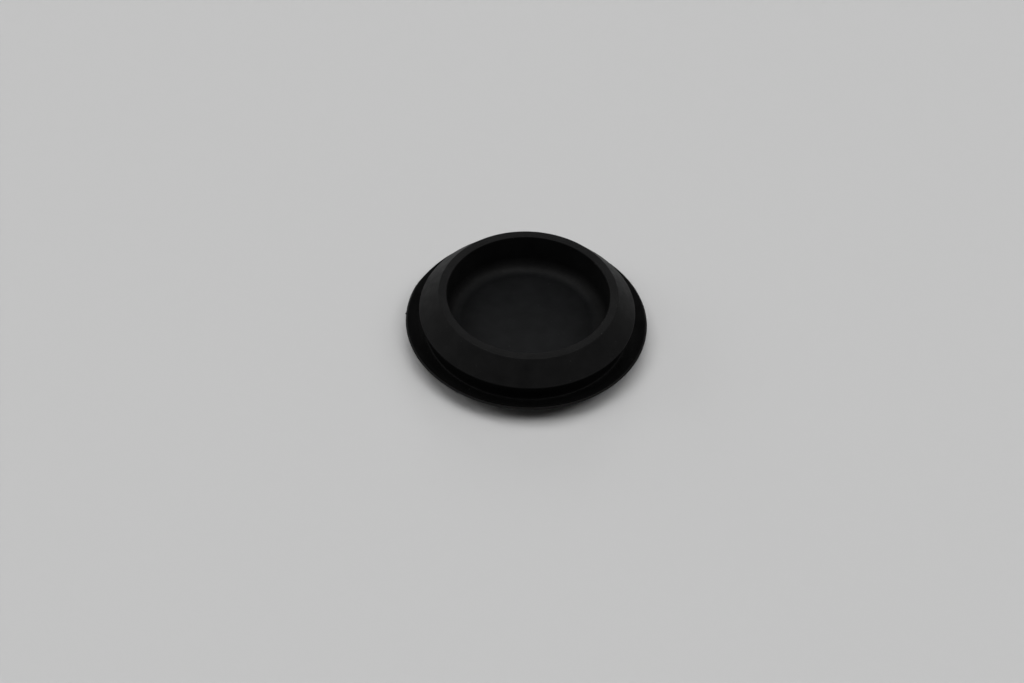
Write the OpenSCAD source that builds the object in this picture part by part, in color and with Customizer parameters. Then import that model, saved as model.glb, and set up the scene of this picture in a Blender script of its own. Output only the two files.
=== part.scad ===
// Rubber blanking plug: a blind grommet that snaps into a round hole in sheet
// metal and closes it. It is one solid of revolution, moulded in black rubber.
//
// It lies on its head, as it does when it is put down on a table. The origin is
// the centre of the head's resting face, and +Z runs along the axis towards the
// mouth of the cup. From the bottom up it has a round head with a thin raised
// lip, a groove that takes the edge of the sheet, a barb that snaps behind the
// sheet, and a tapered nose. The head's upper face is dished, so that its lip
// presses on the sheet all the way round. The nose is hollowed by a cup, which
// lets the barb bend inwards on its way through the hole. Lengths are in
// millimetres, angles in degrees.

/* [Neck] */
// Diameter of the neck, which fills the hole. The other diameters follow from it
neck_d = 31.8; // [24:0.1:60]

/* [Head] */
// How far the head stands out past the neck, all round
head_w = 3.1; // [2.4:0.1:6]
// Height of the head, from its resting face to the top of its lip
head_h = 3.4; // [2.9:0.1:4.4]
// Height of the straight edge round the lip
lip_t = 0.3; // [0.2:0.05:0.6]
// Depth of the dished seal face at the neck, below the top of the lip
dish_h = 1.2; // [0.6:0.1:1.5]
// Width of the curved underside between the resting face and the lip
skirt_w = 7; // [4:0.5:10]
// Radius that breaks the two corners of the lip
edge_r = 0.06; // [0.03:0.01:0.07]

/* [Groove] */
// Width of the groove, from the top of the lip to the barb
groove_w = 2.15; // [1.2:0.05:4]
// Radius of the fillets at the root of the groove
root_r = 0.3; // [0.1:0.05:0.5]

/* [Nose] */
// How far the barb, which holds the plug in the hole, stands out past the neck
barb_w = 1.05; // [0.7:0.05:2]
// Height of the straight land on the barb's edge
land_h = 0.3; // [0.1:0.05:1]
// Height of the tapered part of the nose
taper_h = 3.35; // [2:0.05:6]
// How far the taper draws in from the barb to the rim round the mouth
taper_w = 2.85; // [1.5:0.05:4]
// Width of the flat rim, which is the wall round the mouth
rim_w = 1.3; // [0.8:0.1:2]
// Radius that breaks the sharp edges of the barb and the rim
break_r = 0.15; // [0.05:0.05:0.25]

/* [Cup] */
// Draft angle of the cup's wall, to each side
draft = 2; // [0:0.5:6]
// Radius of the fillet between the cup's wall and its floor
floor_r = 2; // [0.8:0.1:3]
// Thickness of the web that closes the hole, at its edge
web_t = 3; // [1.8:0.1:3.6]
// Height that the raised middle of the floor stands above that edge
pad_h = 0.06; // [0.04:0.01:0.3]
// Width of the slope round the raised middle
pad_slope_w = 0.8; // [0.2:0.1:1.6]

/* [Hidden] */
$fn = 96;

// Chords in a quarter turn of each rounding, and along each shallow curve
quarter_steps = 10;
curve_steps = 12;

// Heights above the resting face, from the bottom up
lip_foot_z = head_h - lip_t;
seal_z = head_h - dish_h;
barb_z = head_h + groove_w;
land_top_z = barb_z + land_h;
rim_z = land_top_z + taper_h;

// Radii about the axis
neck_rad = neck_d / 2;
head_rad = neck_rad + head_w;
flat_rad = head_rad - skirt_w;
seal_foot_rad = neck_rad + root_r;
barb_rad = neck_rad + barb_w;
rim_rad = barb_rad - taper_w;
mouth_rad = rim_rad - rim_w;

// The taper leans in by this angle from the vertical
taper_angle = atan(taper_w / taper_h);

// The wall of the cup meets its fillet here, and the fillet meets the floor
fillet_z = web_t + floor_r;
wall_foot_rad = mouth_rad - (rim_z - fillet_z) * tan(draft);
fillet_foot_rad = wall_foot_rad - floor_r * cos(draft);
fillet_centre = [fillet_foot_rad, fillet_z];

// Points along a part of an ellipse with the half-axes rx and rz, from the angle
// a0 to a1. Angles are measured from the direction away from the axis.
function arc(centre, rx, rz, a0, a1) =
    let (steps = max(2, round(quarter_steps * abs(a1 - a0) / 90)))
    [for (i = [0:steps])
        let (a = a0 + (a1 - a0) * i / steps)
        centre + [rx * cos(a), rz * sin(a)]];

// Points of a small radius r that breaks the corner p. The outline arrives at p
// along the direction angle a_in and leaves it along a_out, turning left.
function broken_edge(p, r, a_in, a_out) =
    let (back = r * tan((a_out - a_in) / 2),
         start = p - back * [cos(a_in), sin(a_in)],
         centre = start + r * [-sin(a_in), cos(a_in)])
    arc(centre, r, r, a_in - 90, a_out - 90);

// Points of a curve from p, where it is level, to q, where it is steepest. The
// first point is left out.
function bowl(p, q) =
    [for (i = [1:curve_steps])
        let (s = i / curve_steps)
        [p[0] + (q[0] - p[0]) * s, p[1] + (q[1] - p[1]) * s * s]];

// The same points from q back to p, without q
function bowl_back(q, p) =
    let (points = concat([p], bowl(p, q)))
    [for (i = [curve_steps - 1:-1:0]) points[i]];

// Outline of the head from the middle of its resting face to the neck
function head_outline() = concat(
    [[0, 0], [flat_rad, 0]],
    bowl([flat_rad, 0], [head_rad - edge_r, lip_foot_z]),
    // lip
    arc([head_rad - edge_r, lip_foot_z + edge_r], edge_r, edge_r, -60, 0),
    arc([head_rad - edge_r, head_h - edge_r], edge_r, edge_r, 0, 90),
    // dished seal face
    bowl_back([head_rad - edge_r, head_h], [seal_foot_rad, seal_z])
);

// Half of the plug's section, anticlockwise from the centre of the resting face
function section() = concat(
    head_outline(),
    // groove
    [for (p = arc([seal_foot_rad, seal_z + root_r], root_r, root_r, 270, 180))
        if (p[0] < seal_foot_rad - 0.001) p],
    arc([seal_foot_rad, barb_z - root_r], root_r, root_r, 180, 90),
    // barb
    broken_edge([barb_rad, barb_z], break_r, 0, 90),
    broken_edge([barb_rad, land_top_z], break_r, 90, 90 + taper_angle),
    // rim
    broken_edge([rim_rad, rim_z], break_r, 90 + taper_angle, 180),
    broken_edge([mouth_rad, rim_z], break_r, 180, 270 - draft),
    // fillet, then the slope up to the middle of the floor
    arc(fillet_centre, floor_r, floor_r, -draft, -90),
    [[fillet_foot_rad - pad_slope_w, web_t + pad_h],
     [0, web_t + pad_h]]
);

module plug() {
    color([0.07, 0.07, 0.075])
        rotate_extrude() polygon(section());
}

plug();
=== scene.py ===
"""Rubber blanking plug lying on its head on a pale table, lit softly from above and behind."""
from math import atan, cos, degrees, pi, radians, sin, tan

import bpy
from mathutils import Matrix, Vector, noise


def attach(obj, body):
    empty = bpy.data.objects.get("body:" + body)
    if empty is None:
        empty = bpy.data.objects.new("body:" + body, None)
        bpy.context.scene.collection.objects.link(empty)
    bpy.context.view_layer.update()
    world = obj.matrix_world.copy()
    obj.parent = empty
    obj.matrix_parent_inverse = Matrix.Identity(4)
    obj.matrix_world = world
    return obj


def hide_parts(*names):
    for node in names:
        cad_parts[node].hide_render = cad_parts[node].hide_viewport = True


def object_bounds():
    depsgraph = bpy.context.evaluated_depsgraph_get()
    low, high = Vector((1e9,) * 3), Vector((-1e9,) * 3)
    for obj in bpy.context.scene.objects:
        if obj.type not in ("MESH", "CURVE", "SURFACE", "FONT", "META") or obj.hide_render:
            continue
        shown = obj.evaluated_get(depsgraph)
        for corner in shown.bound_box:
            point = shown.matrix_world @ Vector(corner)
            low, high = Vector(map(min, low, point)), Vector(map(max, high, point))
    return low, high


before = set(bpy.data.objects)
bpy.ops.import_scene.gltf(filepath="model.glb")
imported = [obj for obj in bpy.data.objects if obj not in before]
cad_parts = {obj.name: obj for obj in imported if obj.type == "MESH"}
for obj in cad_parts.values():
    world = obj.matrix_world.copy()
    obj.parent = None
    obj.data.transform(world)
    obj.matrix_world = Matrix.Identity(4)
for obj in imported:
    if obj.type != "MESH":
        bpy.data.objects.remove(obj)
cad_box = [list(corner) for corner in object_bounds()]

MM = 0.001
FRAME_W, FRAME_H = 1024, 683         # the picture's size in pixels
SEGMENTS = 1080                      # of the turned mesh, round the axis

# Section of the plug in millimetres: radii, widths, and heights above the table
LIP_OUT = 0.06                       # how far the lip's edge stands out past the solid's
HEAD_R = round(cad_box[1][0] / MM, 3) + LIP_OUT
RIM_Z = round(cad_box[1][2] / MM, 3)
LIP_Z, LIP_T = 3.05, 0.28            # foot of the lip's edge, and height of the edge with its slope
EDGE_R, BEVEL = 0.06, 0.20           # radius of the lip's corners, and width of the slope on top
LIP_TOP_Z = LIP_Z + LIP_T
SKIRT_W = 7.0                        # curved underside between the flat middle and the lip
DISH_H = 1.2                         # drop of the seal face from the lip to the neck
NECK_R, ROOT_R = 15.9, 0.3           # neck, and the radius at both ends of it
BARB_R, BARB_Z, LAND_H = 17.0, 5.55, 0.3   # barb, its underside, and the height of its edge
RIM_R, MOUTH_R = 14.1, 12.8          # outside and inside of the flat rim
BREAK_R = 0.15                       # radius that breaks the corners of the barb and the rim
DRAFT = 2.0                          # lean of the cup's wall, in degrees
FLOOR_Z, FLOOR_R = 3.0, 2.0          # floor of the cup, and the radius at the foot of its wall
PAD_H, PAD_W = 0.06, 0.8             # slightly raised middle of the floor, and the slope round it

# Unevenness in millimetres
NOSE_SHIFT = 0.09                    # how far the rim is off the head's centre
LIP_REACH = 1.2                      # width of the band that moves with the lip's edge
LIP_WAVE, LIP_RIPPLE = 0.06, 0.012   # slow wave up and down, and fine ripple in and out
# Height, azimuth and half width in degrees
FLASH = (0.10, 162, 12)
NIB = (0.17, 178.6, 0.6)
DENT = (-0.09, 146, 16)
# Noise round the lip: fineness, and seed
FLASH_NOISE, RIPPLE_NOISE, WAVE_NOISE = (55, 3), (20, 5), (1.6, 9)

# Colours: darker and lighter mottle of the rubber, the same with a faint painted bluish reflection on the
# cup's floor, dust, and the table
RUBBER = ((0.0067, 0.0067, 0.0068), (0.0089, 0.0089, 0.0090))
FLOOR_RUBBER_PAINTED_BLUE = ((0.0064, 0.0067, 0.0071), (0.0085, 0.0089, 0.0094))
DUST = (0.03, 0.03, 0.029)
TABLE = (0.5, 0.5, 0.5)
BLOOM = 0.74                         # usual share of grey bloom on the rubber

# Azimuth, elevation and spread in degrees, and strength. These and the rings below come from a fit to
# the tones of the picture, rounded; low_left, left and right were changed afterwards.
LAMPS = {
    "back": (90, 26, 24, 0.33),
    "low_back_left": (135, 10, 30, 0.20),
    "high_back_left": (150, 56, 18, 0.30),
    "low_left": (172, 26, 24, 0.27),
    "left": (203, 47, 18, 0.18),
    "high_left": (210, 56, 18, 0.23),
    "right": (0, 45, 20, 0.26),
    "back_right": (40, 42, 20, 0.21),
    "high_right": (330, 56, 18, 0.37),
}
# Rings of lamps for the light from all round, high up and low down: elevation, number, spread, strength
RINGS = ((79, 8, 14, 0.125), (68, 10, 16, 0.085), (10, 8, 30, 0.076))


def arc(centre_x, centre_z, radius, start, end, steps):
    """Points along an arc, angles in degrees."""
    angles = [radians(start + (end - start) * i / steps) for i in range(steps + 1)]
    return [(centre_x + radius * cos(angle), centre_z + radius * sin(angle)) for angle in angles]


def broken(x, z, radius, angle_in, angle_out):
    """Points of a small radius that breaks the corner (x, z). The angles are the edges' directions."""
    back = radius * tan(radians((angle_out - angle_in) / 2))
    along = radians(angle_in)
    centre_x = x - back * cos(along) - radius * sin(along)
    centre_z = z - back * sin(along) + radius * cos(along)
    return arc(centre_x, centre_z, radius, angle_in - 90, angle_out - 90, 6)


def run(start, end, steps, rise=lambda share: share):
    """Points from start to end. Rise turns the share of the width into the share of the height."""
    (x0, z0), (x1, z1) = start, end
    shares = [i / steps for i in range(steps + 1)]
    return [(x0 + (x1 - x0) * share, z0 + (z1 - z0) * rise(share)) for share in shares]


def section():
    """Half of the plug's section, from the centre of the resting face round to the cup's floor."""
    # Head: flat middle, curved underside, lip and dished seal face
    flat_r, edge_r = HEAD_R - SKIRT_W, HEAD_R - EDGE_R
    pts = run((0.0, 0.0), (flat_r, 0.0), 2)[:-1]
    pts += run((flat_r, 0.0), (edge_r, LIP_Z), 24, lambda share: share ** 2)
    pts += arc(edge_r, LIP_Z + EDGE_R, EDGE_R, -50, 0, 4)
    pts += arc(edge_r - BEVEL, LIP_TOP_Z - EDGE_R, EDGE_R, 40, 90, 4)
    lip_top = (edge_r - BEVEL, LIP_TOP_Z)
    seal_z, seal_foot_r = LIP_TOP_Z - DISH_H, NECK_R + ROOT_R
    pts += run(lip_top, (seal_foot_r, seal_z), 16, lambda share: 1 - (1 - share) ** 2)[1:]

    # Neck, barb and tapered nose
    pts += arc(seal_foot_r, seal_z + ROOT_R, ROOT_R, 270, 180, 5)[1:]
    pts += arc(seal_foot_r, BARB_Z - ROOT_R, ROOT_R, 180, 90, 5)
    land_z = BARB_Z + LAND_H
    lean = degrees(atan((BARB_R - RIM_R) / (RIM_Z - land_z)))
    rim_corner = broken(RIM_R, RIM_Z, BREAK_R, 90 + lean, 180)
    pts += broken(BARB_R, BARB_Z, BREAK_R, 0, 90)
    pts += broken(BARB_R, land_z, BREAK_R, 90, 90 + lean)
    pts += run(pts[-1], rim_corner[0], 16)[1:-1] + rim_corner

    # Cup: mouth, wall, round foot, slope and raised middle of the floor
    pts += broken(MOUTH_R, RIM_Z, BREAK_R, 180, 270 - DRAFT)
    draft = radians(DRAFT)
    wall_foot_r = MOUTH_R - (RIM_Z - FLOOR_Z - FLOOR_R) * tan(draft)
    floor_r = wall_foot_r - FLOOR_R * cos(draft)
    pts += arc(floor_r, FLOOR_Z + FLOOR_R, FLOOR_R, -DRAFT, -90, 24)
    pad = (floor_r - PAD_W, FLOOR_Z + PAD_H)
    pts += run((floor_r, FLOOR_Z), pad, 6, lambda share: share ** 2 * (3 - 2 * share))[1:]
    pts += run(pad, (0.0, pad[1]), 10)[1:]
    return pts


def clamp(value):
    """The value, held between 0 and 1."""
    return min(max(value, 0), 1)


def bump(angle, height, centre, width):
    """Smooth bump of the height at the azimuth centre, in degrees, and 0 beyond its half width."""
    away = abs((degrees(angle) - centre + 180) % 360 - 180) / width
    return height * (1 + cos(pi * away)) / 2 if away < 1 else 0


def unevenness(angle, fineness, seed):
    """Smooth noise round the circle, from about -1 to 1."""
    return noise.noise(Vector((fineness * cos(angle), fineness * sin(angle), seed)))


def lip_shift(angle):
    """How far the lip's edge stands out and up from its true circle, in millimetres."""
    ragged = 0.35 + 0.65 * abs(unevenness(angle, *FLASH_NOISE))
    out = bump(angle, *FLASH) * ragged + bump(angle, *NIB) + bump(angle, *DENT)
    out += LIP_RIPPLE * unevenness(angle, *RIPPLE_NOISE)
    return out, LIP_WAVE * unevenness(angle, *WAVE_NOISE)


def place(radius, z, angle, shift):
    """Point of the turned surface. The nose leans a little off the head's centre."""
    lean = NOSE_SHIFT * clamp((z - LIP_TOP_Z) / (RIM_Z - LIP_TOP_Z))
    if z < LIP_TOP_Z + 0.01:
        near_lip = clamp((radius - HEAD_R + LIP_REACH) / LIP_REACH) ** 2
        radius += shift[0] * near_lip ** 4
        z += shift[1] * near_lip
    return (radius * cos(angle) + lean) * MM, radius * sin(angle) * MM, z * MM


def link_mesh(name, verts, faces):
    mesh = bpy.data.meshes.new(name)
    mesh.from_pydata(verts, [], faces)
    mesh.update()
    piece = bpy.data.objects.new(name, mesh)
    bpy.context.scene.collection.objects.link(piece)
    return piece


def lathe(name, pts):
    """Turns the section into a closed mesh about the Z axis. Its ends lie on the axis."""
    rings = pts[1:-1]
    per_turn = len(rings)
    verts, faces = [], []
    for i in range(SEGMENTS):
        angle = 2 * pi * i / SEGMENTS
        shift = lip_shift(angle)
        verts += [place(radius, z, angle, shift) for radius, z in rings]
    low, high = len(verts), len(verts) + 1
    verts += [(0, 0, pts[0][1] * MM), (0, 0, pts[-1][1] * MM)]
    for i in range(SEGMENTS):
        here, there = i * per_turn, (i + 1) % SEGMENTS * per_turn
        faces += [(here + k, there + k, there + k + 1, here + k + 1) for k in range(per_turn - 1)]
        faces += [(low, there, here), (high, here + per_turn - 1, there + per_turn - 1)]
    piece = link_mesh(name, verts, faces)
    piece.data.shade_smooth()
    piece.data.set_sharp_from_angle(angle=radians(30))
    return piece


class Shading:
    """Short calls that add nodes to one new material."""

    COLOUR_SOCKETS, COLOUR_RESULT = (6, 7), 2     # colour sockets of the Mix node

    def __init__(self, name):
        self.material = bpy.data.materials.new(name)
        self.material.use_nodes = True
        self.nodes, self.links = self.material.node_tree.nodes, self.material.node_tree.links

    def put(self, socket, value):
        """Sets a socket, or links another node's output to it."""
        if isinstance(value, bpy.types.NodeSocket):
            self.links.new(value, socket)
        else:
            socket.default_value = (*value, 1) if isinstance(value, tuple) else value

    def surface(self, values):
        for name, value in values.items():
            self.put(self.nodes["Principled BSDF"].inputs[name], value)

    def add(self, kind, values):
        node = self.nodes.new(kind)
        for name, value in values.items():
            self.put(node.inputs[name], value)
        return node

    def grain(self, position, scale, detail):
        values = {"Vector": position, "Scale": scale, "Detail": detail}
        return self.add("ShaderNodeTexNoise", values).outputs["Fac"]

    def ramp(self, value, low, high, low_out=0, high_out=1):
        values = {"Value": value, "From Min": low, "From Max": high, "To Min": low_out, "To Max": high_out}
        return self.add("ShaderNodeMapRange", values).outputs["Result"]

    def math(self, operation, *values):
        node = self.nodes.new("ShaderNodeMath")
        node.operation = operation
        for socket, value in zip(node.inputs, values):
            self.put(socket, value)
        return node.outputs["Value"]

    def times(self, first, second):
        return self.math("MULTIPLY", first, second)

    def band(self, value, low, low_full, high_full, high):
        """Rises from 0 to 1 between the first two numbers, and falls back between the last two."""
        return self.times(self.ramp(value, low, low_full), self.ramp(value, high_full, high, 1, 0))

    def mix(self, factor, first, second):
        node = self.nodes.new("ShaderNodeMix")
        node.data_type = "RGBA"
        self.put(node.inputs["Factor"], factor)
        for number, colour in zip(self.COLOUR_SOCKETS, (first, second)):
            self.put(node.inputs[number], colour)
        return node.outputs[self.COLOUR_RESULT]


def bloom_with_painted_light_and_shade(look, axes, radius, low):
    """Share of the rubber's colour that shows: a grey bloom tone, with painted shade over the dished seal
    face, darkest on the side nearest the viewer, painted shade at the foot of the cup's wall, painted
    light in the middle of the cup's floor, and a painted highlight along the barb's edge.
    """
    seal_face = look.band(radius, (NECK_R - 0.1) * MM, (NECK_R + 0.7) * MM,
                          (HEAD_R - 0.44) * MM, (HEAD_R - 0.28) * MM)
    # Painted shade on the dished seal face, deepest on the side nearest the viewer
    painted_front_shade = look.ramp(axes["Y"], -16 * MM, 2 * MM, 0.40, 0.20)
    bloom_light_and_shade = look.math("SUBTRACT", BLOOM, look.times(look.times(low, seal_face), painted_front_shade))
    # Painted light in the middle of the cup's floor
    painted_light_middle = look.times(low, look.ramp(radius, 4 * MM, 10 * MM, 1, 0))
    # Painted shade at the foot of the cup's wall
    painted_shade_wall_foot = look.times(low, look.band(radius, 7 * MM, 9.5 * MM, 10 * MM, 10.6 * MM))
    # Painted highlight along the barb's lower edge
    painted_highlight_barb_edge = look.times(look.ramp(radius, (BARB_R - 0.12) * MM, (BARB_R - 0.05) * MM),
                           look.ramp(axes["Z"], (BARB_Z - 0.25) * MM, (BARB_Z - 0.05) * MM))
    for area, change in ((painted_light_middle, 1.12), (painted_shade_wall_foot, 0.78), (painted_highlight_barb_edge, 1.25)):
        bloom_light_and_shade = look.times(bloom_light_and_shade, look.ramp(area, 0, 1, 1, change))
    return bloom_light_and_shade


def rubber_material():
    """Satin moulded black rubber: finely grained, faintly mottled, with bloom, painted shade, painted
    light and a painted highlight in its tone, a faint painted bluish reflection on the cup's floor, and a
    little pale dust.
    """
    look = Shading("black_rubber")
    position = look.nodes.new("ShaderNodeTexCoord").outputs["Object"]
    axes = look.add("ShaderNodeSeparateXYZ", {"Vector": position}).outputs
    squares = [look.times(axes[name], axes[name]) for name in "XY"]
    radius = look.math("SQRT", look.math("ADD", *squares))
    low = look.ramp(axes["Z"], 3.6 * MM, 4.4 * MM, 1, 0)        # the head and the cup's floor
    floor_painted_blue = look.times(low, look.ramp(radius, 10.5 * MM, 12 * MM, 1, 0))

    mottle = look.ramp(look.grain(position, 420, 3), 0.35, 0.65)
    # The cup's floor gets a faint painted bluish reflection in its colour
    rubber = look.mix(floor_painted_blue, look.mix(mottle, *RUBBER), look.mix(mottle, *FLOOR_RUBBER_PAINTED_BLUE))
    # The bloom tone, with its painted shade and painted light, darkens or lightens the rubber's colour
    rubber_with_painted_light = look.mix(bloom_with_painted_light_and_shade(look, axes, radius, low), (0.0, 0.0, 0.0), rubber)
    dust = look.ramp(look.grain(position, 2600, 1), 0.77, 0.80)
    fine_bump = {"Height": look.grain(position, 3500, 3), "Strength": 0.35, "Distance": 0.032 * MM}
    look.surface({
        "Base Color": look.mix(dust, rubber_with_painted_light, DUST),
        "Roughness": look.ramp(look.grain(position, 900, 4), 0.3, 0.7, 0.44, 0.56),
        "Specular IOR Level": 0.06,
        "Normal": look.add("ShaderNodeBump", fine_bump).outputs["Normal"],
    })
    return look.material


def table_material():
    look = Shading("pale_table")
    look.surface({"Base Color": TABLE, "Roughness": 0.8, "Specular IOR Level": 0.2})
    return look.material


def add_table():
    half = 3.0                                # metres, so that its edges stay out of every view
    corners = [(-half, -half, 0), (half, -half, 0), (half, half, 0), (-half, half, 0)]
    table = link_mesh("table_top", corners, [(0, 1, 2, 3)])
    table.data.materials.append(table_material())


def add_lamp(name, azimuth, elevation, spread, strength):
    """A wide soft lamp far away. Azimuth runs from +X towards +Y; angles in degrees."""
    data = bpy.data.lights.new(name, "SUN")
    data.energy, data.angle = strength, radians(spread)
    lamp = bpy.data.objects.new(name, data)
    bpy.context.scene.collection.objects.link(lamp)
    around, up = radians(azimuth), radians(elevation)
    towards = Vector((cos(around) * cos(up), sin(around) * cos(up), sin(up)))
    lamp.rotation_mode = "QUATERNION"
    lamp.rotation_quaternion = towards.to_track_quat("Z", "Y")


def add_lamps():
    for name, values in LAMPS.items():
        add_lamp(name, *values)
    for elevation, number, spread, strength in RINGS:
        for i in range(number):
            add_lamp(f"ring_{elevation}_{i}", 360 * i / number, elevation, spread, strength)
    world = bpy.data.worlds.new("room")
    world.use_nodes = True
    world.node_tree.nodes["Background"].inputs["Strength"].default_value = 0.0
    bpy.context.scene.world = world


def add_camera():
    """Camera at the picture's viewing angle."""
    focal, distance = 3000.0, 474.0           # pixels, and millimetres
    elevation, roll = radians(45.98), radians(2.66)
    axis_x, axis_y, level_z = 526.46, 320.62, 3.2   # pixel of the axis at this height, in millimetres
    back = Vector((0, -cos(elevation), sin(elevation)))
    level = Vector((1, 0, 0))
    steep = back.cross(level)
    right = cos(roll) * level + sin(roll) * steep
    up = cos(roll) * steep - sin(roll) * level
    shift_x = (axis_x - FRAME_W / 2) / focal * distance
    shift_y = (FRAME_H / 2 - axis_y) / focal * distance
    data = bpy.data.cameras.new("camera")
    data.sensor_width, data.sensor_fit = 36, "HORIZONTAL"
    data.lens = focal * data.sensor_width / FRAME_W
    data.clip_start, data.clip_end = 0.01, 100
    camera = bpy.data.objects.new("camera", data)
    bpy.context.scene.collection.objects.link(camera)
    turn = Matrix((right, up, back)).transposed().to_4x4()
    turn.translation = (distance * back - shift_x * right - shift_y * up + Vector((0, 0, level_z))) * MM
    camera.matrix_world = turn
    bpy.context.scene.camera = camera


plug = lathe("rubber_plug", section())
plug.data.materials.append(rubber_material())
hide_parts("plug")
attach(plug, "root")

add_table()
add_camera()
add_lamps()
bpy.context.scene.view_settings.view_transform = "Standard"
